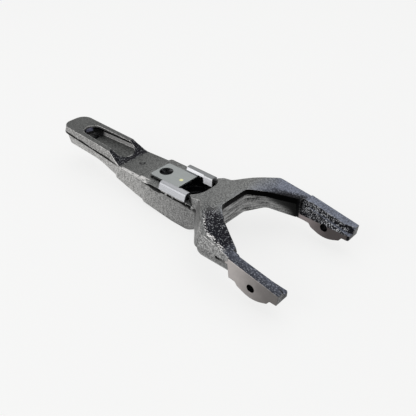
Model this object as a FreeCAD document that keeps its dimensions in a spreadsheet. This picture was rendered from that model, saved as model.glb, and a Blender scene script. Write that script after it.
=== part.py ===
import FreeCAD, Part
import math
import os
import re
import Sketcher

# Forged clutch fork with its spring-steel retaining clip.
# Frame: origin at the centre of the tine bore, +X from the push rod head to the tine tips,
# +Y across the fork, +Z up out of the side that carries the ball pocket.
doc = FreeCAD.newDocument("ClutchFork")

sheet = doc.addObject("Spreadsheet::Sheet", "Size")
DRIVING = {
    # tines
    "tineOuter": 42.0,
    "tineInner": 31.5,
    "tineRough": 35.2,
    "tineStart": 18.5,
    "tipReach": 18.5,
    "tipTop": 5.5,
    "tipBottom": -1.4,
    "boreRadius": 2.6,
    "camDepth": 6.9,
    # forging
    "partingHeight": 8.0,
    "upperDie": 14.0,
    "lowerDie": 24.0,
    "flashStep": 0.9,
    "upperDraft": 12.0,
    "lowerDraft": 6.0,
    "legUpperDraft": 21.0,
    "legSide": 5.0,
    "legSideDraft": 11.0,
    "legTurn": 2.2,
    "legTurnDraft": 30.0,
    "legFoot": 3.0,
    "legFootDraft": 58.0,
    "flangeDraft": 20.0,
    "crestHeight": 18.2,
    "legOuter": 42.6,
    "legBottom": -1.0,
    "flangeDepth": 3.5,
    "legRoot": 64.5,
    "legRootRadius": 9.0,
    "legCorner": 41.5,
    "legCornerRadius": 7.0,
    "millStock": 2.6,
    "archBase": 47.5,
    "archHalf": 11.6,
    "archKnee": 37.7,
    "archKneeHalf": 20.0,
    "archEnd": 13.4,
    "armHalf": 17.4,
    "webHalf": 13.5,
    "webHeight": 8.8,
    "bossStart": 121.0,
    "bossHeight": 9.8,
    "pivotBottom": -13.8,
    # push rod head
    "headReach": 211.5,
    "headRoot": 150.0,
    "headCorner": 9.0,
    "headHalf": 11.8,
    "headTop": 17.3,
    "headBottom": 3.2,
    "headTilt": 4.0,
    "headDraft": 12.0,
    "railHeight": 15.2,
    "slotHalf": 6.8,
    "slotMouthHalf": 8.8,
    "slotMouth": 144.2,
    "slotFloor": 10.0,
    "slotEnd": 192.5,
    "seatRadius": 5.0,
    "seatCentre": 187.7,
    # ball pocket
    "pocketCentre": 80.0,
    "pocketHalfLength": 13.3,
    "pocketHalf": 13.2,
    "pocketFloor": 2.0,
    "ballRadius": 8.0,
    # clip
    "clipTop": 12.0,
    "clipThickness": 1.1,
    "clipHalf": 9.2,
    "clipStart": 113.6,
    "clipLength": 26.5,
    "clipHoleRadius": 4.8,
    "clipHolePlace": 107.2,
    "wingStart": 98.0,
    "wingEnd": 74.6,
    "gripStart": 82.4,
    "gripFoot": 8.2,
}
for row, (alias, value) in enumerate(DRIVING.items(), start=1):
    sheet.set("A%d" % row, alias)
    sheet.set("B%d" % row, str(value))
    sheet.setAlias("B%d" % row, alias)
doc.recompute()

UP = FreeCAD.Vector(0, 0, 1)


def originPlane(body, role):
    return next(part for part in body.Origin.OriginFeatures if part.Role == role)


def newSketch(body, name, role, place=None, turn=None):
    """A sketch on an origin plane, moved by place and turned by turn (axis, degrees)."""
    sketch = body.newObject("Sketcher::SketchObject", name)
    sketch.AttachmentSupport = [(originPlane(body, role), "")]
    sketch.MapMode = "FlatFace"
    rotation = FreeCAD.Rotation(*turn) if turn else FreeCAD.Rotation()
    sketch.AttachmentOffset = FreeCAD.Placement(place or FreeCAD.Vector(), rotation)
    return sketch


def onSheet(text):
    """The expression with every driving dimension's name pointed at the sheet."""
    words = re.split(r"(\w+)", str(text))
    return "".join("Size." + word if word in DRIVING else word for word in words)


def bind(sketch, kind, *args):
    """Add a dimension whose last argument is an expression on the sheet."""
    text = onSheet(args[-1])
    value = float(sketch.evalExpression(text))
    index = sketch.addConstraint(Sketcher.Constraint(kind, *args[:-1], value))
    sketch.setExpression("Constraints[%d]" % index, text)


def cornerArc(before, corner, after, radius):
    """The arc that rounds a corner, with its two tangent points."""
    inward = (before - corner).normalize()
    outward = (after - corner).normalize()
    half = inward.getAngle(outward) / 2
    reach = radius / math.tan(half)
    start = corner + inward * reach
    end = corner + outward * reach
    centre = corner + (inward + outward).normalize() * (radius / math.sin(half))
    middle = centre + (corner - centre).normalize() * radius
    return start, end, Part.Arc(start, middle, end)


def addOutline(sketch, corners):
    """A closed outline through corners (x, y) or, for a rounded corner, (x, y, radius)."""
    at = []
    for corner in corners:
        x = float(sketch.evalExpression(onSheet(corner[0])))
        y = float(sketch.evalExpression(onSheet(corner[1])))
        at.append(FreeCAD.Vector(x, y, 0))
    count = len(corners)
    starts, ends, arcs = [], [], {}
    for i, corner in enumerate(corners):
        if len(corner) == 2:
            starts.append(at[i])
            ends.append(at[i])
            continue
        radius = float(sketch.evalExpression(onSheet(corner[2])))
        start, end, arcs[i] = cornerArc(at[i - 1], at[i], at[(i + 1) % count], radius)
        starts.append(start)
        ends.append(end)
    points = [sketch.addGeometry(Part.Point(spot), True) for spot in at]
    lines = []
    for i in range(count):
        lines.append(sketch.addGeometry(Part.LineSegment(ends[i], starts[(i + 1) % count]), False))
    rounds = {i: sketch.addGeometry(arc, False) for i, arc in arcs.items()}
    for i, corner in enumerate(corners):
        before = lines[i - 1]
        after = lines[i]
        bind(sketch, "DistanceX", -1, 1, points[i], 1, corner[0])
        bind(sketch, "DistanceY", -1, 1, points[i], 1, corner[1])
        if i not in rounds:
            sketch.addConstraint(Sketcher.Constraint("Coincident", before, 2, points[i], 1))
            sketch.addConstraint(Sketcher.Constraint("Coincident", after, 1, points[i], 1))
            continue
        arc = rounds[i]
        first, last = (1, 2) if sketch.getPoint(arc, 1).isEqual(starts[i], 1e-6) else (2, 1)
        sketch.addConstraint(Sketcher.Constraint("PointOnObject", points[i], 1, before))
        sketch.addConstraint(Sketcher.Constraint("PointOnObject", points[i], 1, after))
        sketch.addConstraint(Sketcher.Constraint("Tangent", before, 2, arc, first))
        sketch.addConstraint(Sketcher.Constraint("Tangent", after, 1, arc, last))
        bind(sketch, "Radius", arc, corner[2])
    return sketch


def addBowl(sketch, radius, height):
    """Half the section of a round-ended hollow: a quarter circle below, straight above."""
    size = float(sketch.evalExpression(onSheet(radius)))
    top = float(sketch.evalExpression(onSheet(height)))
    low, side = FreeCAD.Vector(0, -size, 0), FreeCAD.Vector(size, 0, 0)
    middle = FreeCAD.Vector(size * math.sin(math.pi / 4), -size * math.cos(math.pi / 4), 0)
    rim, axis = FreeCAD.Vector(size, top, 0), FreeCAD.Vector(0, top, 0)
    arc = sketch.addGeometry(Part.Arc(low, middle, side), False)
    wall = sketch.addGeometry(Part.LineSegment(side, rim), False)
    lid = sketch.addGeometry(Part.LineSegment(rim, axis), False)
    core = sketch.addGeometry(Part.LineSegment(axis, low), False)
    low, side = (1, 2) if sketch.getPoint(arc, 1).isEqual(low, 1e-6) else (2, 1)
    for first, end, second, start in ((arc, side, wall, 1), (wall, 2, lid, 1), (lid, 2, core, 1),
                                      (core, 2, arc, low)):
        sketch.addConstraint(Sketcher.Constraint("Coincident", first, end, second, start))
    sketch.addConstraint(Sketcher.Constraint("Coincident", arc, 3, -1, 1))
    sketch.addConstraint(Sketcher.Constraint("PointOnObject", arc, low, -2))
    sketch.addConstraint(Sketcher.Constraint("Vertical", wall))
    sketch.addConstraint(Sketcher.Constraint("Horizontal", lid))
    sketch.addConstraint(Sketcher.Constraint("Vertical", core))
    bind(sketch, "Radius", arc, radius)
    sketch.addConstraint(Sketcher.Constraint("PointOnObject", arc, side, -1))
    bind(sketch, "DistanceY", -1, 1, lid, 1, height)
    return sketch


def addCircle(sketch, x, y, radius):
    size = float(sketch.evalExpression(onSheet(radius)))
    centre = [float(sketch.evalExpression(onSheet(text))) for text in (x, y)]
    circle = sketch.addGeometry(Part.Circle(FreeCAD.Vector(*centre, 0), UP, size), False)
    bind(sketch, "DistanceX", -1, 1, circle, 3, x)
    bind(sketch, "DistanceY", -1, 1, circle, 3, y)
    bind(sketch, "Radius", circle, radius)


def inset(half, step):
    """Corners on the +Y side moved inward by step, square to the lines on both sides of each."""
    at = []
    for corner in half:
        x = float(sheet.evalExpression(onSheet(corner[0])))
        at.append(FreeCAD.Vector(x, float(sheet.evalExpression(onSheet(corner[1]))), 0))
    moved = []
    for i, corner in enumerate(half):
        before = (at[max(i, 1)] - at[max(i, 1) - 1]).normalize()
        last = min(i + 1, len(at) - 1)
        after = (at[last] - at[last - 1]).normalize()
        scale = 1 + before.dot(after)
        alongX = (before.y + after.y) / scale
        alongY = -(before.x + after.x) / scale
        movedX = "%s + (%s) * %.6f" % (corner[0], step, alongX)
        movedY = "%s + (%s) * %.6f" % (corner[1], step, alongY)
        moved.append((movedX, movedY) + tuple(radius % step for radius in corner[2:]))
    return moved


def mirrored(half):
    """A whole outline from the corners on its +Y side, which run from -X to +X."""
    other = [(c[0], "-(%s)" % c[1]) + tuple(c[2:]) for c in reversed(half)]
    return half + other


def pad(body, name, sketch, length, draft=None, reverse=False, symmetric=False):
    feature = body.newObject("PartDesign::Pad", name)
    feature.Profile = sketch
    feature.setExpression("Length", onSheet(length))
    feature.Reversed = reverse
    if symmetric:
        feature.SideType = "Symmetric"
    if draft:
        feature.setExpression("TaperAngle", "-(%s)" % onSheet(draft))
    return feature


def pocket(body, name, sketch, length, reverse=False, symmetric=False, draft=None):
    feature = body.newObject("PartDesign::Pocket", name)
    feature.Profile = sketch
    feature.setExpression("Length", onSheet(length))
    feature.Reversed = reverse
    if draft:
        feature.setExpression("TaperAngle", onSheet(draft))
    if symmetric:
        feature.SideType = "Symmetric"
    return feature


def loft(body, name, first, last):
    feature = body.newObject("PartDesign::SubtractiveLoft", name)
    feature.Profile = first
    feature.Sections = [last]
    feature.Ruled = True
    return feature


def groove(body, name, sketch):
    feature = body.newObject("PartDesign::Groove", name)
    feature.Profile = sketch
    feature.ReferenceAxis = (sketch, ["V_Axis"])
    feature.Angle = 360
    return feature


ACROSS = FreeCAD.Vector(0, 1, 0)
FREE_WIDTH = "130"
PAST_TIP = "25"  # cuts run out of the stock here
PAST_HEAD = "-230"
LEG_SLOPE = 10.9
LEG_FALL = math.tan(math.radians(LEG_SLOPE))


def buildBlank(body):
    """The drop forging: both die halves, drafted away from the parting plane."""
    parting = FreeCAD.Vector(0, 0, DRIVING["partingHeight"])
    headPlace = FreeCAD.Vector(-DRIVING["headRoot"], 0, DRIVING["partingHeight"])
    headTurn = (ACROSS, DRIVING["headTilt"])

    def armOutline(step):
        return mirrored([
            ("-headRoot", "webHalf - %s" % step),
            ("-bossStart", "webHalf + 1.8 - %s" % step),
            ("-bossStart + 3.5", "armHalf - 0.5 - %s" % step),
            ("-58", "armHalf - %s" % step),
        ])

    def legOutline(step):
        return mirrored(inset([
            ("-84", "armHalf - 3"),
            ("-legRoot", "armHalf", "legRootRadius + %s"),
            ("-legCorner", "legOuter", "legCornerRadius - (%s)"),
            ("-10", "legOuter"),
        ], step))

    def tineOutline(start):
        return mirrored([(start, "tineOuter + millStock"), ("tipReach", "tineOuter + millStock")])

    def headOutline(step):
        return mirrored([
            ("headRoot - headReach + %s" % step, "headHalf - %s" % step, "headCorner"),
            ("4", "webHalf - %s" % step),
        ])

    sketch = addOutline(newSketch(body, "UpperOutline", "XY_Plane", parting), armOutline("0"))
    pad(body, "UpperForging", sketch, "upperDie", "upperDraft")
    sketch = addOutline(newSketch(body, "LowerOutline", "XY_Plane", parting), armOutline("flashStep"))
    pad(body, "LowerForging", sketch, "lowerDie", "lowerDraft", reverse=True)
    sketch = addOutline(newSketch(body, "LegsUpperOutline", "XY_Plane", parting), legOutline("0"))
    pad(body, "LegsUpper", sketch, "upperDie", "legUpperDraft")
    # below the parting the legs turn under in three drafts
    step, height = "flashStep", DRIVING["partingHeight"]
    for name in ("legSide", "legTurn", "legFoot"):
        sketch = newSketch(body, name + "Outline", "XY_Plane", FreeCAD.Vector(0, 0, height))
        addOutline(sketch, legOutline(step))
        pad(body, name + "Pad", sketch, name, name + "Draft", reverse=True)
        step = "%s + %s * tan(%sDraft)" % (step, name, name)
        height -= DRIVING[name]
    sketch = addOutline(newSketch(body, "TinesUpperOutline", "XY_Plane", parting), tineOutline("-17"))
    pad(body, "TinesUpper", sketch, "8", "lowerDraft")
    sketch = addOutline(newSketch(body, "TinesLowerOutline", "XY_Plane", parting), tineOutline("-16.6"))
    pad(body, "TinesLower", sketch, "17", "lowerDraft", reverse=True)
    sketch = newSketch(body, "HeadUpperOutline", "XY_Plane", headPlace, headTurn)
    pad(body, "HeadUpper", addOutline(sketch, headOutline("0")), "upperDie", "upperDraft")
    sketch = newSketch(body, "HeadLowerOutline", "XY_Plane", headPlace, headTurn)
    addOutline(sketch, headOutline("flashStep"))
    pad(body, "HeadLower", sketch, "lowerDie", "headDraft", reverse=True)


def cutProfiles(body):
    """The side profile: rails, web, boss, crest and legs above, pivot belly and tine cams below."""
    top = addOutline(newSketch(body, "TopProfile", "XZ_Plane"), [
        (PAST_HEAD, "headTop + 0.6"),
        ("-154", "railHeight"),
        ("-142.5", "webHeight", 10),
        ("-bossStart + 0.4", "webHeight"),
        ("-118.5", "bossHeight"),
        ("-73.5", "bossHeight"),
        ("-72", "bossHeight + 5"),
        ("-51", "crestHeight + 0.5", 25),
        (PAST_TIP, "tipTop - 1.3"),
        (PAST_TIP, "40"),
        (PAST_HEAD, "40"),
    ])
    pocket(body, "TopProfileCut", top, FREE_WIDTH, symmetric=True)
    bottom = addOutline(newSketch(body, "BottomProfile", "XZ_Plane"), [
        (PAST_HEAD, "headBottom"),
        ("-168", "headBottom - 1", 30),
        ("-149", "-5", 25),
        ("-127", "-9.6"),
        ("-90", "pivotBottom", 40),
        ("-75", "pivotBottom", 12),
        ("-53", "legBottom", 10),
        ("-14.5", "legBottom - 0.2"),
        ("-11", "legBottom - 0.6", 1.5),
        ("-9.3", "-camDepth + 3"),
        ("1", "-camDepth - 1.3", 16),
        ("11.2", "-camDepth + 2.8"),
        ("13", "tipBottom", 1),
        (PAST_TIP, "tipBottom"),
        (PAST_TIP, "-40"),
        (PAST_HEAD, "-40"),
    ])
    pocket(body, "BottomProfileCut", bottom, FREE_WIDTH, symmetric=True)


def cutFork(body):
    """The space between the legs: a drafted flange above, walls that fall back below it."""
    seatHeight = DRIVING["tipTop"] + DRIVING["tipReach"] * LEG_FALL - DRIVING["flangeDepth"]
    seat = FreeCAD.Vector(0, 0, seatHeight)
    slope = (ACROSS, LEG_SLOPE)

    arch = [("-archBase", "archHalf", 5), ("-archKnee", "archKneeHalf", 12)]
    flange = addOutline(newSketch(body, "FlangeOutline", "XY_Plane", seat, slope), mirrored(arch + [
        ("-archEnd", "tineRough - 0.6"),
        ("16.5", "tineRough - 1", 2),
        (PAST_TIP, "tineRough + 7.5"),
    ]))
    pocket(body, "FlangeCut", flange, "14", reverse=True, draft="flangeDraft")
    wallTop = newSketch(body, "WallTop", "XY_Plane", seat, slope)
    reached = "(archKnee - tineStart) / (archKnee - archEnd)"
    addOutline(wallTop, mirrored(arch + [
        ("-tineStart", "archKneeHalf + (tineRough - 0.6 - archKneeHalf) * " + reached),
    ]))
    wallFoot = newSketch(body, "WallFoot", "XY_Plane", FreeCAD.Vector(0, 0, -9))
    addOutline(wallFoot, mirrored([
        ("-archBase - 3", "archHalf + 2.4", 5),
        ("-44", "tineInner", 6),
        ("-tineStart", "tineInner"),
    ]))
    loft(body, "WallCut", wallTop, wallFoot)
    tineGap = newSketch(body, "TineGap", "XY_Plane", FreeCAD.Vector(0, 0, -10))
    addOutline(tineGap, mirrored([
        ("-tineStart - 2", "tineInner"), ("16.8", "tineInner", 2), (PAST_TIP, "tineInner + 8"),
    ]))
    pocket(body, "TineGapCut", tineGap, "40", reverse=True)
    # the tines' inner faces lean back above the band that the release bearing's carrier slides on
    for name, sign in (("Left", ""), ("Right", "-1 * ")):
        near = newSketch(body, "RoughNear" + name, "YZ_Plane", FreeCAD.Vector(0, 0, -DRIVING["tineStart"]))
        addOutline(near, [
            (sign + "30", "2"), (sign + "tineInner", "2"), (sign + "(tineRough + 0.2)", "14"),
            (sign + "30", "14"),
        ])
        far = newSketch(body, "RoughFar" + name, "YZ_Plane", FreeCAD.Vector(0, 0, 25))
        addOutline(far, [
            (sign + "30", "1.9"), (sign + "tineInner", "1.9"), (sign + "(tineRough + 0.6)", "6.1"),
            (sign + "30", "6.1"),
        ])
        loft(body, "RoughCut" + name, near, far)


def machineTines(body):
    """Milled outer faces and the bore through both tines."""
    mill = newSketch(body, "MillOutline", "XY_Plane", FreeCAD.Vector(0, 0, -20))
    for sign in ("", "-1 * "):
        addOutline(mill, [
            ("-tineStart", sign + "tineOuter"), (PAST_TIP, sign + "tineOuter"),
            (PAST_TIP, sign + "50"), ("-tineStart", sign + "50"),
        ])
    pocket(body, "MillCut", mill, "50", reverse=True)
    bore = newSketch(body, "BoreCircle", "XZ_Plane")
    addCircle(bore, "0", "0", "boreRadius")
    pocket(body, "Bore", bore, FREE_WIDTH, symmetric=True)


def cutHead(body):
    """The push rod slot with its round seat, open to the web past a raised tongue."""
    floor = FreeCAD.Vector(0, 0, DRIVING["slotFloor"])

    def slotOutline(start):
        return mirrored([start, ("-slotMouth", "slotMouthHalf", "slotMouthHalf - 0.8")])

    slot = newSketch(body, "SlotOutline", "XY_Plane", floor)
    addOutline(slot, slotOutline(("-slotEnd", "slotHalf", "slotHalf - 0.2")))
    pocket(body, "SlotCut", slot, "14", reverse=True)
    tongue = newSketch(body, "TongueOutline", "XY_Plane", floor)
    addOutline(tongue, slotOutline(("-165", "slotHalf + 1")))
    pad(body, "Tongue", tongue, "4", reverse=True)
    seat = newSketch(body, "SeatProfile", "XZ_Plane",
                     FreeCAD.Vector(-DRIVING["seatCentre"], DRIVING["slotFloor"] + 0.8, 0))
    addBowl(seat, "seatRadius", "9")
    groove(body, "Seat", seat)


def cutPocket(body):
    """The ball pocket, its spherical seat and the low shoulders beside it for the clip."""
    floor = FreeCAD.Vector(0, 0, DRIVING["pocketFloor"])
    outline = addOutline(newSketch(body, "PocketOutline", "XY_Plane", floor), mirrored([
        ("-pocketCentre - pocketHalfLength", "pocketHalf", 9.5),
        ("-pocketCentre + pocketHalfLength", "pocketHalf", 9.5),
    ]))
    pocket(body, "PocketCut", outline, "20", reverse=True)
    ball = newSketch(body, "BallProfile", "XZ_Plane",
                     FreeCAD.Vector(-DRIVING["pocketCentre"], DRIVING["pocketFloor"] + 1.5, 0))
    addBowl(ball, "ballRadius", "6")
    groove(body, "BallSeat", ball)
    relief = newSketch(body, "ReliefOutline", "XY_Plane", FreeCAD.Vector(0, 0, DRIVING["webHeight"]))
    addOutline(relief, mirrored([
        ("-clipStart + 0.6", "clipHalf + 1.3", 2),
        ("-pocketCentre", "clipHalf + 1.3"),
    ]))
    pocket(body, "ReliefCut", relief, "14", reverse=True)
    mark = newSketch(body, "MarkProfile", "XZ_Plane", FreeCAD.Vector(-131.6, DRIVING["webHeight"] + 1.9, 0))
    addBowl(mark, "2.6", "2")
    groove(body, "HardnessMark", mark)
    shoulder = newSketch(body, "ShoulderOutline", "XY_Plane", FreeCAD.Vector(0, 0, DRIVING["bossHeight"]))
    for sign in ("", "-1 * "):
        addOutline(shoulder, [
            ("-76", sign + "12.6"), ("-73.5", sign + "12.6"),
            ("-64", sign + "18.6"), ("-76", sign + "18.6"),
        ])
    pocket(body, "ShoulderCut", shoulder, "14", reverse=True)


def buildFork():
    body = doc.addObject("PartDesign::Body", "ForkBody")
    body.Label = "fork_body"
    buildBlank(body)
    cutProfiles(body)
    cutFork(body)
    machineTines(body)
    cutHead(body)
    cutPocket(body)
    return body


def buildClip():
    body = doc.addObject("PartDesign::Body", "RetainingClip")
    body.Label = "retaining_clip"
    bottom = DRIVING["clipTop"] - DRIVING["clipThickness"]
    plate = newSketch(body, "PlateOutline", "XY_Plane", FreeCAD.Vector(0, 0, bottom))
    addOutline(plate, mirrored([
        ("-clipStart", "clipHalf", 2),
        ("-clipStart + clipLength", "clipHalf"),
    ]))
    addCircle(plate, "-clipHolePlace", "0", "clipHoleRadius")
    pad(body, "Plate", plate, "clipThickness")

    # each wing arches over the arm's edge: first from the plate, then free, then from a grip leg
    over = [(13.9, 13.6, 1.1), (15.5, "bossHeight"), (16.7, "bossHeight"), (14.8, 14.7, 2.2)]
    sections = (
        ("Wing", "-wingStart", "wingStart - clipStart + clipLength", [
            (8.6, "clipTop - clipThickness"), (11.0, "clipTop - clipThickness", 1.8), (12.1, 13.6, 0.6),
            *over, (11.3, 14.7, 1.6), (10.2, "clipTop", 0.8), (8.6, "clipTop")]),
        ("Arch", "-clipStart + clipLength", "clipStart - clipLength - gripStart", [
            (10.31, 12.27), (11.55, 12.25), (12.1, 13.6, 0.6), *over, (11.3, 14.7, 1.6)]),
        ("Grip", "-gripStart", "gripStart - wingEnd", [
            (10.2, "gripFoot"), (11.35, "gripFoot"), (11.35, 13.6, 0.6), *over, (10.2, 14.7, 1.7)]),
    )
    for name, start, length, corners in sections:
        for side, sign in (("Left", ""), ("Right", "-1 * ")):
            place = FreeCAD.Vector(0, 0, float(sheet.evalExpression(onSheet(start))))
            sketch = newSketch(body, name + side, "YZ_Plane", place)
            addOutline(sketch, [(sign + str(c[0]),) + tuple(c[1:]) for c in corners])
            pad(body, name + side + "Pad", sketch, length)
    return body


def checkObjects():
    for item in doc.Objects:
        bad = [state for state in item.State if state in ("Invalid", "Error")]
        if bad:
            raise RuntimeError("%s: %s" % (item.Name, item.State))


fork = buildFork()
clip = buildClip()
doc.recompute()
checkObjects()
os.makedirs("parts", exist_ok=True)
for node in (fork, clip):
    shape = node.Shape
    if shape.isNull() or not shape.isValid() or len(shape.Solids) != 1:
        raise RuntimeError(node.Label + " is not one valid solid")
    print(node.Label, round(shape.Volume), shape.BoundBox)
    shape.exportStep("parts/%s.step" % node.Label)
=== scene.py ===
import math

import bpy
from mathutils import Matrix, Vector


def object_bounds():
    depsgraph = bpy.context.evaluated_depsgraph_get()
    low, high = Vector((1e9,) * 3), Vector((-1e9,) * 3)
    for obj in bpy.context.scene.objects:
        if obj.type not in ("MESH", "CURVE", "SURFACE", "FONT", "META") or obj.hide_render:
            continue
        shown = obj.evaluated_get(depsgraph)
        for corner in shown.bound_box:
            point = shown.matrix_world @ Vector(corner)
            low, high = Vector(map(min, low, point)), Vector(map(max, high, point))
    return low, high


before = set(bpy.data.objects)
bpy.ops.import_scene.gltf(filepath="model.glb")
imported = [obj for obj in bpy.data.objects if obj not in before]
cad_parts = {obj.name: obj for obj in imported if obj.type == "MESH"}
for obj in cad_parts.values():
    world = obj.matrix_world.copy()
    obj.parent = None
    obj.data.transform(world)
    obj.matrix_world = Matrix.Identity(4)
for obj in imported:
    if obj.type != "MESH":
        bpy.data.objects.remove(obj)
cadLow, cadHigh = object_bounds()
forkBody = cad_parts["fork_body"]
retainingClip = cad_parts["retaining_clip"]
print("frame loaded")


class Wire:  # a socket that can be used in sums
    def __init__(self, graph, socket):
        self.graph = graph
        self.socket = socket

    def sumOf(self, operation, first, second):
        return self.graph.node("ShaderNodeMath", {"operation": operation}, {0: first, 1: second})

    def __add__(self, other):
        return self.sumOf("ADD", self, other)

    def __radd__(self, other):
        return self.sumOf("ADD", other, self)

    def __sub__(self, other):
        return self.sumOf("SUBTRACT", self, other)

    def __rsub__(self, other):
        return self.sumOf("SUBTRACT", other, self)

    def __mul__(self, other):
        return self.sumOf("MULTIPLY", self, other)

    def __rmul__(self, other):
        return self.sumOf("MULTIPLY", other, self)

    def __abs__(self):
        return self.sumOf("ABSOLUTE", self, 0.0)


class Graph:  # the nodes of one material or of the world
    def __init__(self, owner):
        owner.use_nodes = True
        self.tree = owner.node_tree
        self.tree.nodes.clear()

    def node(self, kind, settings, inputs, output=0):
        made = self.tree.nodes.new(kind)
        for name, value in settings.items():
            setattr(made, name, value)
        for name, value in inputs.items():
            if isinstance(value, Wire):
                self.tree.links.new(value.socket, made.inputs[name])
            else:
                made.inputs[name].default_value = value
        return Wire(self, made.outputs[output]) if made.outputs else None

    def seen(self):  # rays that see the backdrop instead of being lit by it
        rays = [self.node("ShaderNodeLightPath", {}, {}, "Is " + kind + " Ray")
                for kind in ("Camera", "Glossy", "Transmission")]
        return rays[0] + rays[1] + rays[2]


class Finish(Graph):  # a metal finish, measured in millimetres
    def __init__(self, name):
        self.material = bpy.data.materials.new(name)
        super().__init__(self.material)
        metres = self.node("ShaderNodeTexCoord", {}, {}, "Object")
        self.place = self.shade(metres, 1000.0)
        self.flat = self.node("ShaderNodeNewGeometry", {}, {}, "True Normal")
        self.x, self.y, self.z = self.axes(self.place)
        self.facingX, self.facingY, self.facingZ = self.axes(self.flat)

    def axes(self, vector):
        return [self.node("ShaderNodeSeparateXYZ", {}, {0: vector}, axis) for axis in "XYZ"]

    def noise(self, size, detail=2.0, roughness=0.5, place=None):  # size of one blotch
        return self.node("ShaderNodeTexNoise", {}, {"Vector": place or self.place, "Scale": 1.0 / size,
                                                    "Detail": detail, "Roughness": roughness})

    def streaks(self, scale, detail=2.0, roughness=0.5):  # drawn out along the axes with a small scale
        drawn = self.node("ShaderNodeMapping", {}, {"Vector": self.place, "Scale": scale})
        return self.noise(1.0, detail, roughness, drawn)

    def sway(self, noise, reach):  # moves an edge by up to half of reach either way
        return reach * (noise - 0.5)

    def step(self, value, span):  # 0 at the span's first value and 1 at its second, rising or falling
        return self.node("ShaderNodeMapRange", {"interpolation_type": "SMOOTHSTEP"},
                         {"Value": value, "From Min": span[0], "From Max": span[1]})

    def between(self, value, rise, fall):
        return self.least(self.step(value, rise), self.step(value, fall))

    def near(self, value, middle, span):
        return self.step(abs(value - middle), span)

    def squareOff(self, middle):  # squared distance from an upright axis at x and y
        offX = self.x - middle[0]
        offY = self.y - middle[1]
        return offX * offX + offY * offY

    def gathered(self, operation, masks):
        result = masks[0]
        for mask in masks[1:]:
            result = self.node("ShaderNodeMath", {"operation": operation}, {0: result, 1: mask})
        return result

    def least(self, *masks):
        return self.gathered("MINIMUM", masks)

    def most(self, *masks):
        return self.gathered("MAXIMUM", masks)

    def mix(self, factor, first, second):  # colours
        return self.node("ShaderNodeMix", {"data_type": "RGBA"}, {0: factor, 6: first, 7: second}, 2)

    def blend(self, factor, first, second):  # numbers
        return self.node("ShaderNodeMix", {"data_type": "FLOAT"}, {0: factor, 2: first, 3: second})

    def shade(self, colour, level):
        return self.node("ShaderNodeVectorMath", {"operation": "SCALE"}, {0: colour, "Scale": level})

    def rounded(self, radius):  # the normal of edges that are broken to this radius
        return self.node("ShaderNodeBevel", {"samples": 6}, {"Radius": radius * 0.001})

    def edges(self, radius, span):  # 1 on an edge, 0 on a face
        level = self.node("ShaderNodeVectorMath", {"operation": "DOT_PRODUCT"},
                          {0: self.rounded(radius), 1: self.flat}, "Value")
        return self.step(1.0 - level, span)

    def bump(self, height, strength, depth, normal):
        return self.node("ShaderNodeBump", {}, {"Strength": strength, "Distance": depth * 0.001,
                                                "Height": height, "Normal": normal})

    def surface(self, inputs):
        shader = self.node("ShaderNodeBsdfPrincipled", {}, inputs)
        self.node("ShaderNodeOutputMaterial", {}, {"Surface": shader})

    def paint(self, piece):
        for slot in piece.material_slots:
            slot.material = self.material


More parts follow.
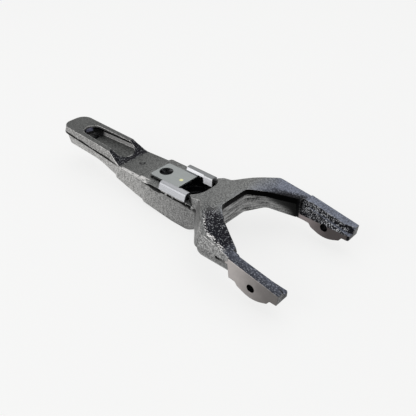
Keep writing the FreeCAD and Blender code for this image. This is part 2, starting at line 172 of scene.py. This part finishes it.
# Places are in millimetres: x runs from the head at -211 to the tine tips at 18, the near side has y
# below 0, and z is up. A pair is a span, where a zone begins and where it has come in fully, or the x
# and y of a middle.
forkLook = {
    "colours": {
        "topScaleAndShade": (0.080, 0.082, 0.080, 1.0),     # forging scale on the upper faces, darker as painted shade
        "crestScaleAndShade": (0.168, 0.171, 0.168, 1.0),   # thinner where the legs part, still darker as painted shade
        "sideScaleAndLight": (0.46, 0.455, 0.445, 1.0),     # trimmed and blasted flanks, lighter as painted light
        "sideDull": (0.225, 0.225, 0.223, 1.0),     # the same nearer to the legs
        "blued": (0.140, 0.153, 0.192, 1.0),        # heat tint of the legs
        "sootAndShade": (0.005, 0.005, 0.007, 1.0),         # dark scale that the blasting left, and the black of painted shade
        "frost": (0.42, 0.43, 0.45, 1.0),           # blasted grains in it, also the painted glints under the clip's hole
        "seatHighlight": (0.60, 0.62, 0.84, 1.0),        # painted highlight in the push rod's seat
        "shadow": (0.002, 0.002, 0.002, 1.0),       # painted shadow under the flange and the flash and at the far leg's foot
        "worn": (0.62, 0.61, 0.60, 1.0),
        "milledOuter": (0.36, 0.335, 0.325, 1.0),
        "milledInner": (0.19, 0.165, 0.165, 1.0),
    },
    "grain": {                           # sizes of the blotches, from broad to fine
        "cloud": 14.0,
        "stroke": 6.0,
        "patch": 5.0,
        "gap": 3.2,
        "rub": 2.0,
        "speck": 0.95,
        "fine": 0.4275,
        "combed": (1.3, 1.3, 0.16),      # upright trimming marks on the flanks
        "drawn": (0.09, 0.09, 0.7),      # metal drawn along the arch walls
        "cut": (0.10, 1.0, 2.6),         # milling strokes
    },
    "facing": {                          # spans of the parts of a face's normal
        "upward": (0.55, 0.85),
        "steep": (0.62, 0.42),
        "leaning": ((0.06, 0.16), (0.75, 0.60)),
        "inwardX": (0.3, 0.6),
        "inwardY": (-1.0, -3.0),         # times y, so the same on both sides
        "tineWall": (0.90, 0.80),
        "flank": (0.75, 0.6),
        "ramp": (0.10, 0.32),
        "tip": (0.7, 0.9),
        "pad": (0.985, 0.997),
    },
    "pads": {                            # milled faces of the tines
        "root": (-19.0, -18.5),
        "outer": (41.85, 41.95),
        "inner": ((31.2, 31.4), (31.8, 31.7)),
        "innerTop": (3.2, 2.6),
        "outerDulls": (-20.0, 14.0),     # darker towards the tip
        "innerDulls": (-16.0, 4.0),
        "outerSway": 10.0,
        "innerSway": 8.0,
        "bright": 1.25,
        "dulling": 0.85,
        "bore": (8.6, 7.2),              # squared radius of the bore's wall
        "boreFace": (30.0, 31.0),
    },
    "arch": {
        "back": (-50.5, -49.5),
        "flank": (37.5, 36.8),
        "bandEnd": (-20.0, -17.5),
        "root": (-37.7, 20.0),           # where the arch line starts, and its half width there
        "slope": 0.473,
        "turn": 0.16,                    # added to the slope beyond the root
        "farSide": (5.0, 8.0),
        "footStart": (-42.0, -32.0),
        "footEnd": (-20.0, -16.0),
        "footReach": (3.4, 0.2),
        "fadeStart": (-46.0, -28.0),
        "fadeEnd": (-15.0, -19.0),
        "fadeReach": (8.5, 3.5),
        "fadeSway": 3.0,
    },
    "legs": {
        "start": (-60.0, -46.0),
        "tintStart": (-52.0, -34.0),
        "startSway": 12.0,
        "kneeBack": (-49.0, 26.5, 0.83),     # x, half width and slope of the outer ridge
        "kneeFront": (-39.0, 35.6, 0.2),
        "pastKnee": (0.3, 1.2),
        "outerClean": 0.85,                  # share of the soot that is gone past the ridge
        "nearSide": (0.0, -1.0),
        "sootSide": (-13.0, -22.0),
        "sootSway": 4.0,
        "tineClean": 0.55,
        "deep": (-48.0, -34.0),
        "ridgeReach": (1.5, 0.5),
        "ridgeSway": 5.0,
        "ridgeSide": (-20.0, -22.0),
        "ridgeRun": ((-50.0, -44.0), (-20.0, -26.0)),
        "ridgeGrain": (0.46, 0.56),
    },
    "tines": {
        "start": (-25.0, -15.0),
        "wallStart": (-21.0, -19.0),
        "wallFlank": (38.0, 37.0),
        "wallRim": (35.2, 36.6),
        "tip": (14.0, 17.0),
        "tipSoot": 0.7,
        "rim": (36.5, 41.0),
        "rimDulling": 0.45,
        "topDulling": 0.15,
    },
    "head": {
        "ramp": ((-158.0, -155.0), (-139.0, -143.0)),
        "rampFoot": ((-146.5, -144.5), (-139.0, -141.5)),
        "footSway": 5.0,
        "slot": ((-194.0, -193.0), (-143.5, -144.5)),
        "slotFlank": (9.2, 8.6),
        "slotTop": (15.6, 14.2),
        "slotRim": (12.9, 13.5),
        "slotWallLight": 0.8,
        "seat": (-180.5, -184.0),
        "seatBlack": 0.85,
        "glintX": (-190.8, -192.2),
        "glintZ": (11.6, 12.8),
        "glintMiddle": 1.0,
        "glintReach": (3.8, 1.8),
        "glintShare": 0.9,
    },
    "pocket": {
        "run": ((-93.8, -93.0), (-66.0, -67.0)),
        "top": (8.6, 7.6),
        "flank": (13.7, 13.1),
        "black": 0.95,
        "pocketGlints": (0.58, 0.66),
        "pocketGlintShare": 0.22,
        "underClip": (-108.5, 1.0),      # the ground seen through the hole of the clip, painted black as shade
        "underReach": (7.5, 6.8),
        "underTop": (11.6, 11.2),
        "glints": ((-113.2, 2.8), (-109.2, 6.4)),
        "glintReach": (3.2, 0.6),        # squared
        "glintShare": 0.6,
    },
    "mark": {                            # centre punch of the hardness test
        "middle": (-131.6, 0.0),
        "ring": 3.2,                     # squared radius
        "ringReach": (3.4, 1.8),
        "crescent": (-1.9, -0.7),        # the side of the ring painted dark as shade
        "clear": (16.0, 9.0),
        "black": 0.95,
    },
    "parting": {                         # the trimmed flash, with the shadow under its lip painted black
        "height": 8.1,
        "headRoot": -150.0,
        "headRise": 0.07,                # how much the parting climbs along the head
        "headStep": 0.6,
        "headStart": (-142.0, -152.0),
        "thick": 0.75,
        "armMore": 0.5,
        "armStart": (-112.0, -106.0),
        "shoulder": -102.0,
        "shoulderMore": 1.0,
        "shoulderReach": (7.0, 3.0),
        "shoulderWhole": (8.0, 5.0),
        "crotch": -68.0,
        "crotchMore": 0.9,
        "crotchReach": (9.0, 5.0),
        "sway": 1.4,
        "soft": (-0.25, 0.25),
        "legRun": ((-60.0, -54.0), (-27.0, -31.0)),
        "legClean": 0.8,
        "gaps": (0.40, 0.48),
        "headWhole": (-140.0, -145.0),
        "armShown": (-135.0, -112.0),
        "headShown": (-140.0, -148.0),
        "overFlash": (0.3, 0.9),
        "headFlank": (-140.0, -150.0),
        "upperFlankShade": 0.3,
    },
    "scale": {
        "flankDulls": (-150.0, -62.0),
        "crestPales": (-155.0, -75.0),
        "tone": 0.50,
        "grainTone": 0.70,
        "grainSpan": (0.36, 0.66),
        "cloudTone": 0.35,
        "streakSpan": (0.35, 0.65),
        "flankStreaks": 0.25,
        "archStreaks": 0.75,
    },
    "frost": {
        "floor": 0.555,                  # grain level where frost starts
        "full": 0.66,
        "deepFewer": 0.04,
        "wallMore": 0.09,
        "level": 0.55,
        "deepFainter": 0.22,
        "fadedFainter": 0.6,
        "sootShare": 0.98,
    },
    "wear": {
        "edge": (0.02, 0.12),
        "open": (0.20, 0.05),            # hollows keep their scale
        "rub": (0.44, 0.56),
        "armMiddle": -124.0,
        "armReach": (16.0, 12.0),
        "armSide": (-12.3, -13.2),
        "armTop": (6.9, 7.4),
        "armPatch": (0.38, 0.47),
        "armGrain": (0.32, 0.44),
        "clipRun": (-120.0, -110.0),
        "clipTop": (9.2, 8.6),
        "tineFainter": 0.7,
        "share": 0.8,
        "hollowReach": 4.0,
        "hollowBlack": 0.75,
    },
    "gloss": {
        "edgeRadius": 0.9,
        "roughness": 0.42,
        "roughSway": 0.16,
        "polished": 0.34,
        "metallic": 0.9,
        "slotLess": 0.5,
        "grainHeight": 0.7,
        "fineHeight": 0.3,
        "cutHeight": 0.2,
        "relief": 0.7,
        "reliefDepth": 0.25,
    },
}


class ForgedSteel(Finish):  # the finish of the forging, zone by zone
    def __init__(self, look):
        super().__init__("forged steel")
        self.look = look
        grain, facing = look["grain"], look["facing"]
        self.width = abs(self.y)
        self.cloud = self.noise(grain["cloud"], 3.0)
        self.patch = self.noise(grain["patch"], 3.0, 0.6)
        self.grain = self.noise(grain["speck"], 1.5, 0.6)
        self.fine = self.noise(grain["fine"], 1.0)
        reach = {"Distance": look["wear"]["hollowReach"] * 0.001}
        self.hollow = 1.0 - self.node("ShaderNodeAmbientOcclusion", {"samples": 8}, reach, "AO")
        self.upward = self.step(self.facingZ, facing["upward"])
        self.steep = self.step(self.facingZ, facing["steep"])
        self.inward = self.most(self.step(self.facingY * self.y, facing["inwardY"]),
                                self.step(self.facingX, facing["inwardX"]))
        self.onTine = self.step(self.x, look["tines"]["start"])
        self.nearSide = self.step(self.y, look["legs"]["nearSide"])

    def findPads(self):  # milled faces and the bore
        look = self.look["pads"]
        self.outer = self.step(self.width, look["outer"])
        self.inner = self.between(self.width, *look["inner"]) * self.step(self.z, look["innerTop"])
        square = self.step(abs(self.facingY), self.look["facing"]["pad"])
        self.pads = self.least(square, self.step(self.x, look["root"]), self.most(self.outer, self.inner))
        bore = self.step(self.x * self.x + self.z * self.z, look["bore"])
        self.bore = bore * self.step(self.width, look["boreFace"])

    def findArch(self):  # painted shade on the flange inside the fork, and how it spreads over the far leg
        look = self.look["arch"]
        self.arch = self.least(self.step(self.x, look["back"]), self.step(self.width, look["flank"]))
        leaning = self.between(self.facingZ, *self.look["facing"]["leaning"])
        shown = (1.0 - self.step(self.x, look["bandEnd"])) * self.inward
        self.band = self.least(leaning, self.arch) * shown
        rootX, rootWidth = look["root"]
        past = self.x - rootX
        offArch = self.width - rootWidth - look["slope"] * past - look["turn"] * self.most(past, 0.0)
        farSide = self.step(self.y, look["farSide"])
        foot = self.least(self.step(self.x, look["footStart"]), self.step(offArch, look["footReach"]))
        # painted shade at the foot of the arch on the far leg
        self.foot = foot * farSide * (1.0 - self.step(self.x, look["footEnd"]))
        reach = self.step(offArch + self.sway(self.grain, look["fadeSway"]), look["fadeReach"])
        fade = self.least(self.step(self.x, look["fadeStart"]), reach) * farSide
        self.fade = fade * self.upward * self.step(self.x, look["fadeEnd"])

    def findLegs(self):  # soot on the near leg, partly painted dark reflection, and the bright ridge beside it
        look = self.look["legs"]
        swayed = self.x + self.sway(self.cloud, look["startSway"])
        self.onLeg = self.step(swayed, look["start"])
        self.tinted = self.step(swayed, look["tintStart"])
        knees = [half + slope * (self.x - start)
                 for start, half, slope in (look["kneeBack"], look["kneeFront"])]
        offKnee = self.width - self.least(*knees)
        pastKnee = self.step(offKnee, look["pastKnee"])
        side = self.step(self.y + self.sway(self.patch, look["sootSway"]), look["sootSide"])
        sootAndShade = self.least(self.onLeg, side) * (1.0 - self.onTine * look["tineClean"])
        self.nearLeg = sootAndShade * self.most(self.onTine, 1.0 - look["outerClean"] * pastKnee)
        self.deep = self.nearLeg * self.step(self.x, look["deep"])
        ridge = self.step(abs(offKnee) + self.sway(self.patch, look["ridgeSway"]), look["ridgeReach"])
        ridge = ridge * self.step(self.y, look["ridgeSide"]) * self.between(self.x, *look["ridgeRun"])
        self.ridge = ridge * self.step(self.grain, look["ridgeGrain"])
        self.outerRim = pastKnee * self.nearSide * (1.0 - self.onTine)

    def findTines(self):  # rough inner walls, darkened partly as painted dark reflection, and the tip
        look, facing = self.look["tines"], self.look["facing"]
        wall = self.least(self.step(self.x, look["wallStart"]), self.step(self.width, look["wallFlank"]))
        self.tineWall = wall * self.step(self.facingZ, facing["tineWall"]) * self.inward
        atTip = self.step(self.x, look["tip"])
        self.bare = self.tineWall * self.most(self.step(self.width, look["wallRim"]), atTip)
        self.tip = self.step(self.facingX, facing["tip"]) * atTip * look["tipSoot"]
        self.rim = self.step(self.width, look["rim"]) * self.least(self.onTine, self.upward)

    def findHead(self):  # the slot for the push rod and the ramp at its open end, with painted shade on the slot's rim, in the seat and on the ramp, and a painted highlight in the seat
        look = self.look["head"]
        slot = self.least(self.between(self.x, *look["slot"]), self.step(self.width, look["slotFlank"]))
        self.slot = slot * self.step(self.z, look["slotTop"])
        self.seat = self.least(self.step(self.x, look["seat"]), self.slot)
        # painted shade along the top of the slot's walls
        self.slotRim = self.slot * self.steep * self.step(self.z, look["slotRim"])
        self.slotWall = self.slot * self.steep * (1.0 - self.slotRim) * (1.0 - self.seat)
        leaning = self.step(self.facingX, self.look["facing"]["ramp"])
        ramp = self.least(self.between(self.x, *look["ramp"]), leaning)
        footStart, footEnd = look["rampFoot"]
        ending = self.step(self.x + self.sway(self.grain, look["footSway"]), footEnd)
        foot = self.least(self.step(self.x, footStart), ending) * self.upward
        self.ramp = self.most(ramp, foot * (1.0 - self.slot))
        # a painted highlight on the seat's end wall
        glint = self.least(self.step(self.x, look["glintX"]), self.step(self.z, look["glintZ"]))
        self.glint = glint * self.near(self.y, look["glintMiddle"], look["glintReach"]) * self.seat

    def findPocket(self):  # the ball pocket and the ground under the clip's hole, both painted black as shade, with painted glints
        look = self.look["pocket"]
        pocket = self.least(self.between(self.x, *look["run"]), self.step(self.z, look["top"]))
        self.pocket = pocket * self.step(self.width, look["flank"])
        # painted glints: specks in the pocket left less black
        self.pocketGlints = self.step(self.grain, look["pocketGlints"]) * look["pocketGlintShare"]
        middleX, middleY = look["underClip"]
        under = self.least(self.near(self.x, middleX, look["underReach"]),
                           self.near(self.y, middleY, look["underReach"]))
        self.under = under * self.step(self.z, look["underTop"])
        glints = [self.squareOff(middle) for middle in look["glints"]]
        self.holeGlints = self.under * self.step(self.least(*glints), look["glintReach"])

    def findMark(self):
        look = self.look["mark"]
        off = self.squareOff(look["middle"])
        crescent = [look["middle"][0] + end for end in look["crescent"]]
        # painted shade on one side of the dent
        self.mark = self.near(off, look["ring"], look["ringReach"]) * self.step(self.x - self.y, crescent)
        self.nearMark = self.step(off, look["clear"])

    def findParting(self):
        look = self.look["parting"]
        onHead = self.most(look["headRoot"] - self.x, 0.0)
        climb = onHead * look["headRise"] + look["headStep"] * self.step(self.x, look["headStart"])
        offLine = self.z - look["height"] - climb
        thick = look["thick"] + look["armMore"] * self.step(self.x, look["armStart"])
        thick = thick + look["shoulderMore"] * self.near(self.x, look["shoulder"], look["shoulderReach"])
        thick = thick + look["crotchMore"] * self.near(self.x, look["crotch"], look["crotchReach"])
        thick = thick + self.sway(self.patch, look["sway"])
        # painted shadow under the flash's lip, broken by gaps
        line = self.step(thick - abs(offLine), look["soft"])
        line = line * self.step(abs(self.facingZ), self.look["facing"]["flank"])
        line = line * (1.0 - self.arch) * (1.0 - self.pocket) * (1.0 - self.slot) * (1.0 - self.onTine)
        line = line * (1.0 - look["legClean"] * self.between(self.x, *look["legRun"]))
        gaps = self.step(self.noise(self.look["grain"]["gap"], 2.0), look["gaps"])
        whole = self.near(self.x, look["shoulder"], look["shoulderWhole"])
        line = line * self.most(gaps, self.step(self.x, look["headWhole"]), whole)
        shown = self.step(self.x, look["armShown"]) + self.step(self.x, look["headShown"])
        self.line = line * shown
        self.upperFlank = self.step(offLine, look["overFlash"]) * self.step(self.x, look["headFlank"])

    def findWear(self):  # edges rubbed bright
        look = self.look["wear"]
        rubbed = self.step(self.noise(self.look["grain"]["rub"], 3.0, 0.6), look["rub"])
        edge = self.edges(self.look["gloss"]["edgeRadius"], look["edge"])
        worn = edge * self.step(self.hollow, look["open"]) * rubbed
        armEdge = self.least(self.near(self.x, look["armMiddle"], look["armReach"]),
                             self.step(self.y, look["armSide"])) * self.step(self.z, look["armTop"])
        armEdge = armEdge * self.step(self.patch, look["armPatch"]) * self.step(self.grain, look["armGrain"])
        byClip = self.step(self.x, look["clipRun"]) * self.step(self.z, look["clipTop"]) * (1.0 - self.onLeg)
        worn = self.most(worn * (1.0 - byClip), armEdge)
        worn = worn * (1.0 - self.nearMark) * (1.0 - self.band) * (1.0 - look["tineFainter"] * self.onTine)
        self.worn = self.most(worn, self.ridge)

    def clean(self):  # colour of the forging without soot or wear
        look, colours, grain = self.look["scale"], self.look["colours"], self.look["grain"]
        side = self.mix(self.step(self.x, look["flankDulls"]), colours["sideScaleAndLight"], colours["sideDull"])
        top = self.mix(self.step(self.x, look["crestPales"]), colours["topScaleAndShade"], colours["crestScaleAndShade"])
        # painted light and shade: steep flanks take the lighter colour, upper faces the darker one
        base = self.mix(self.steep, top, side)
        base = self.mix(self.tinted * (1.0 - self.steep) * (1.0 - self.outerRim), base, colours["blued"])
        archWall = self.least(self.arch, self.steep)
        combed = self.streaks(grain["combed"])
        drawn = self.streaks(grain["drawn"], roughness=0.6)
        streaks = self.step(self.blend(archWall, combed, drawn), look["streakSpan"])
        tone = look["tone"] + look["grainTone"] * self.step(self.grain, look["grainSpan"])
        tone = tone + self.sway(self.cloud, look["cloudTone"])
        depth = self.steep * (look["flankStreaks"] + look["archStreaks"] * archWall)
        tone = tone + self.sway(streaks, depth)
        tines = self.look["tines"]
        # painted shade: the head's flank above the flash is darker
        tone = tone * (1.0 - self.look["parting"]["upperFlankShade"] * self.upperFlank * self.steep)
        tone = tone * (1.0 - tines["rimDulling"] * self.rim * self.nearSide)
        tone = tone * (1.0 - tines["topDulling"] * self.least(self.onTine, self.nearSide))
        return self.shade(base, tone)

    def sootedAndShaded(self, base):  # dark scale with blasted grains in it, partly painted shade and painted dark reflection
        look, colours = self.look["frost"], self.look["colours"]
        # painted shade on the head's ramp and along the far leg's arch edge, partly painted dark reflection
        # on the near leg's top and the tines' inner walls, and dark scale on the tip
        self.sootAndShadeMask = self.most(self.nearLeg * self.upward, self.tip, self.fade, self.tineWall, self.ramp)
        start = look["floor"] + look["deepFewer"] * self.deep - look["wallMore"] * self.tineWall
        level = look["level"] - look["deepFainter"] * self.deep
        frost = self.step(self.grain, (start, look["full"])) * level
        frost = frost * (1.0 - self.ramp * look["fadedFainter"]) * (1.0 - self.fade * look["fadedFainter"])
        frosted = self.mix(frost * (1.0 - self.bare), colours["sootAndShade"], colours["frost"])
        return self.mix(self.sootAndShadeMask * look["sootShare"], base, frosted)

    def marked(self, base):  # wear, then painted shade in black, then painted glints and highlights
        colours, head, pocket, wear = [self.look[zone] for zone in ("colours", "head", "pocket", "wear")]
        base = self.mix(self.worn * wear["share"], base, colours["worn"])
        base = self.mix(self.slotRim, base, colours["sootAndShade"])
        base = self.mix(self.most(self.line, self.band, self.foot), base, colours["shadow"])
        # painted shade: black in the seat, the ball pocket, the hollows found by occlusion, the bore, under
        # the clip's hole and on the test dent's dark side
        inPocket = self.pocket * (pocket["black"] - self.pocketGlints)
        black = self.most(self.seat * head["seatBlack"], self.mark * self.look["mark"]["black"], inPocket,
                          self.hollow * wear["hollowBlack"], self.bore, self.under)
        base = self.mix(black, base, colours["sootAndShade"])
        # painted glints under the clip's hole
        base = self.mix(self.holeGlints * pocket["glintShare"], base, colours["frost"])
        base = self.mix(self.glint * head["glintShare"], base, colours["seatHighlight"])
        # painted light on the slot's far wall, in the worn colour
        return self.mix(self.slotWall * head["slotWallLight"], base, colours["worn"])

    def milled(self):
        look, colours = self.look["pads"], self.look["colours"]
        stroke = self.noise(self.look["grain"]["stroke"], 3.0)
        outward = self.step(self.y * self.facingY, (0.0, 1.0))
        bare = self.mix(outward, colours["milledInner"], colours["milledOuter"])
        outerDull = self.step(self.x + self.sway(stroke, look["outerSway"]), look["outerDulls"])
        innerDull = self.step(self.x + self.sway(stroke, look["innerSway"]), look["innerDulls"])
        dull = outerDull * self.outer + innerDull * self.inner
        return self.shade(bare, look["bright"] - look["dulling"] * dull)

    def lay(self):
        for find in (self.findPads, self.findArch, self.findLegs, self.findTines, self.findHead,
                     self.findPocket, self.findMark, self.findParting, self.findWear):
            find()
        look = self.look["gloss"]
        base = self.mix(self.pads, self.marked(self.sootedAndShaded(self.clean())), self.milled())
        forged = self.grain * look["grainHeight"] + self.fine * look["fineHeight"]
        cut = self.streaks(self.look["grain"]["cut"]) * look["cutHeight"]
        height = self.blend(self.pads, forged, cut)
        broken = self.rounded(look["edgeRadius"])
        rough = look["roughness"] + self.sway(self.fine, look["roughSway"])
        metallic = look["metallic"] - look["slotLess"] * self.slotWall
        self.surface({
            "Base Color": base,
            "Metallic": self.blend(self.most(self.band, self.line, self.sootAndShadeMask), metallic, 1.0),
            "Roughness": self.blend(self.most(self.pads, self.worn), rough, look["polished"]),
            "Normal": self.bump(height, look["relief"], look["reliefDepth"], broken),
        })


clipLook = {
    "sheet": (0.285, 0.302, 0.297, 1.0),
    "blank": (0.23, 0.243, 0.245, 1.0),
    "wing": (0.355, 0.355, 0.38, 1.0),       # painted sheen on the bent wings
    # painted shadow of the bend
    "crease": (0.05, 0.05, 0.06, 1.0),
    # painted reflection on the faces that grip the ball
    "grip": (0.97, 0.97, 1.0, 1.0),
    "dot": (0.78, 0.77, 0.38, 1.0),          # inspection paint
    "rolled": (0.15, 1.3, 1.3),              # rolling marks run along the fork
    "bend": (10.4, 11.4),
    "farHalf": (0.0, 1.0),
    "farFainter": 0.45,
    "wingShare": 0.7,
    "wingSway": 0.6,
    "gripFacing": (7.5, 10.0),               # faces that grip the ball
    "dotMiddle": (-91.8, -1.2),
    "dotRadius": 1.35,
    "dotSoft": 0.2,
    "dotSway": 0.9,
    "dotGrain": 1.2,
    "upward": (0.8, 0.95),
    "farBendSide": (9.6, 10.2),
    "farBendTop": (11.0, 11.8),
    "farBendShade": 0.42,
    "creaseMiddle": 9.5,
    "creaseReach": (0.6, 0.3),
    "creaseStart": (-98.5, -97.5),
    "creaseShare": 0.8,
    "edgeRadius": 0.25,
    "relief": 0.12,
    "reliefDepth": 0.05,
    "metallic": 0.9,
    "roughness": 0.3,
    "roughRolled": 0.1,
}


def springSteel(look):
    sheet = Finish("spring steel")
    rolled = sheet.streaks(look["rolled"], detail=3.0)
    base = sheet.mix(rolled, look["blank"], look["sheet"])
    bent = sheet.step(abs(sheet.y), look["bend"])
    bent = bent * (1.0 - look["farFainter"] * sheet.step(sheet.y, look["farHalf"]))
    # painted sheen on the bent wings, fainter on the far side
    base = sheet.mix(bent * (look["wingShare"] + sheet.sway(rolled, look["wingSway"])), base, look["wing"])
    # painted reflection: the faces that grip the ball are near white and not metallic
    grip = sheet.step(0.0 - sheet.facingY * sheet.y, look["gripFacing"])
    base = sheet.mix(grip, base, look["grip"])
    away = sheet.squareOff(look["dotMiddle"]) + sheet.sway(sheet.noise(look["dotGrain"]), look["dotSway"])
    rim = look["dotRadius"] ** 2
    dot = sheet.least(sheet.step(away, (rim + look["dotSoft"], rim - look["dotSoft"])),
                      sheet.step(sheet.facingZ, look["upward"]))
    base = sheet.mix(dot, base, look["dot"])
    # painted shade on the far wing's top, kept off the grip
    farBend = sheet.least(sheet.step(sheet.y, look["farBendSide"]), sheet.step(sheet.z, look["farBendTop"]))
    base = sheet.shade(base, 1.0 - look["farBendShade"] * farBend * (1.0 - grip))
    # painted shadow along the bend between the plate and the far wing
    crease = sheet.near(sheet.y, look["creaseMiddle"], look["creaseReach"])
    crease = crease * sheet.step(sheet.x, look["creaseStart"]) * look["creaseShare"]
    broken = sheet.rounded(look["edgeRadius"])
    sheet.surface({
        "Base Color": sheet.mix(crease, base, look["crease"]),
        "Metallic": look["metallic"] * (1.0 - dot) * (1.0 - grip),
        "Roughness": look["roughness"] + look["roughRolled"] * rolled,
        "Normal": sheet.bump(rolled, look["relief"], look["reliefDepth"], broken),
    })
    return sheet


forgedSteel = ForgedSteel(forkLook)
forgedSteel.lay()
forgedSteel.paint(forkBody)
springSteel(clipLook).paint(retainingClip)
print("finishes on")

stageLook = {                                  # metres from here on
    "floor": (0.88, 0.88, 0.875, 1.0),
    "paper": (0.95, 0.95, 0.945, 1.0),         # what the lens and the steel see of it
    "paperShare": 0.80,
    "floorSize": 12.0,
    "floorGap": 0.00005,                       # under the pivot belly, which is the lowest place
    "world": (0.50, 0.505, 0.51, 1.0),
    "aim": (-0.1, 0.0, 0.0),
    "lamps": {
        "top light": {"power": 6.0, "size": 1.6, "at": (-0.15, 0.3, 1.1)},
        "side light": {"power": 6.0, "size": 1.0, "at": (-0.45, -1.0, 0.45)},
    },
}


def makeFloor(look, lowest):
    bpy.ops.mesh.primitive_plane_add(size=look["floorSize"], location=(0.0, 0.0, lowest - look["floorGap"]))
    floor = bpy.context.object
    floor.name = "floor"
    paper = bpy.data.materials.new("floor paper")
    sheet = Graph(paper)
    matt = sheet.node("ShaderNodeBsdfDiffuse", {}, {"Color": look["floor"]})
    glow = sheet.node("ShaderNodeEmission", {}, {"Color": look["paper"], "Strength": 1.0})
    both = sheet.node("ShaderNodeMixShader", {}, {0: sheet.seen() * look["paperShare"], 1: matt, 2: glow})
    sheet.node("ShaderNodeOutputMaterial", {}, {"Surface": both})
    floor.data.materials.append(paper)


def makeLamp(name, values, aim):
    lamp = bpy.data.lights.new(name, "AREA")
    lamp.energy = values["power"]
    lamp.shape = "SQUARE"
    lamp.size = values["size"]
    holder = bpy.data.objects.new(name, lamp)
    bpy.context.scene.collection.objects.link(holder)
    holder.location = values["at"]
    away = holder.location - Vector(aim)
    holder.rotation_euler = away.to_track_quat("Z", "Y").to_euler()


def makeWorld(look):
    world = bpy.data.worlds.new("studio")
    bpy.context.scene.world = world
    sky = Graph(world)
    dim = sky.node("ShaderNodeBackground", {}, {"Color": look["world"]})
    pale = sky.node("ShaderNodeBackground", {}, {"Color": look["paper"]})
    both = sky.node("ShaderNodeMixShader", {}, {0: sky.seen(), 1: dim, 2: pale})
    sky.node("ShaderNodeOutputWorld", {}, {"Surface": both})


makeFloor(stageLook, cadLow[2])
for lampName, lampValues in stageLook["lamps"].items():
    makeLamp(lampName, lampValues, stageLook["aim"])
makeWorld(stageLook)
bpy.context.scene.view_settings.view_transform = "Standard"
print("stage set")

cameraPlace = {
    "at": (0.13249, -0.22340, 0.21222),
    "elevation": 35.295,                       # degrees that it looks down
    "azimuth": 42.034,
    "lens": 48.33,
    "sensor": 36.0,
    "clipStart": 0.01,
}


def makeCamera(place):
    eye = bpy.data.cameras.new("camera")
    eye.lens = place["lens"]
    eye.sensor_width = place["sensor"]
    eye.clip_start = place["clipStart"]
    camera = bpy.data.objects.new("camera", eye)
    camera.location = place["at"]
    tilt = 90.0 - place["elevation"]
    camera.rotation_euler = (math.radians(tilt), 0.0, math.radians(place["azimuth"]))
    bpy.context.scene.collection.objects.link(camera)
    bpy.context.scene.camera = camera


makeCamera(cameraPlace)
print("camera set")
